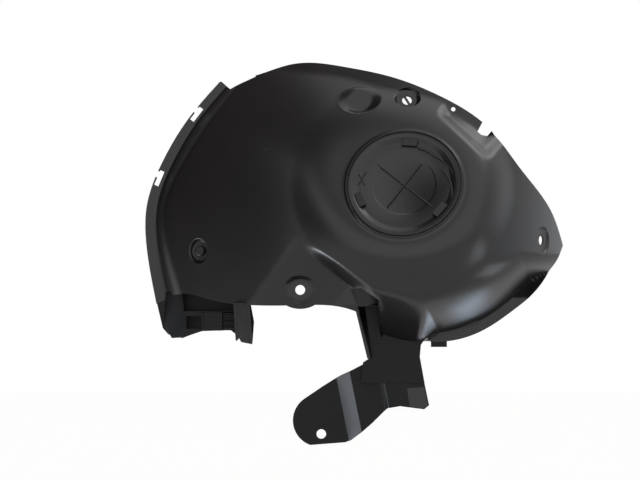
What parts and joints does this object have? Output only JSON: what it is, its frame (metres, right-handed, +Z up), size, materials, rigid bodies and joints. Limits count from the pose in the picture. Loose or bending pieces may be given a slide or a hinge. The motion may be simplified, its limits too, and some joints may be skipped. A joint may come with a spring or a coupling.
{
  "type": "wheel arch liner",
  "caption": "Domed black plastic wheel arch liner with a hooked fender lip, screw bosses, a stepped mounting arm and a round twist-in access cover.",
  "frame": {"origin": "centre of the screw hole in the arm's foot, on the foot's near face", "axes": "+X along the arch from the fender lip to the rear tip, +Z up, -Y out of the bulged side, which faces the engine bay"},
  "size_m": [0.5303, 0.2126, 0.4816],
  "materials": {
    "liner_plastic": "satin black moulded polypropylene",
    "cover_plastic": "satin black moulded polypropylene"
  },
  "bodies": {
    "liner": {"liner": "liner_plastic"},
    "access_cover": {"access_cover": "cover_plastic"}
  },
  "joints": [
    {"name": "cover_twist", "type": "hinge", "parent": "liner", "child": "access_cover", "pos_m": [0.0993, -0.133, 0.3118], "axis": [-0.1449, -0.9057, 0.3985], "range_deg": [0, 30]}
  ]
}
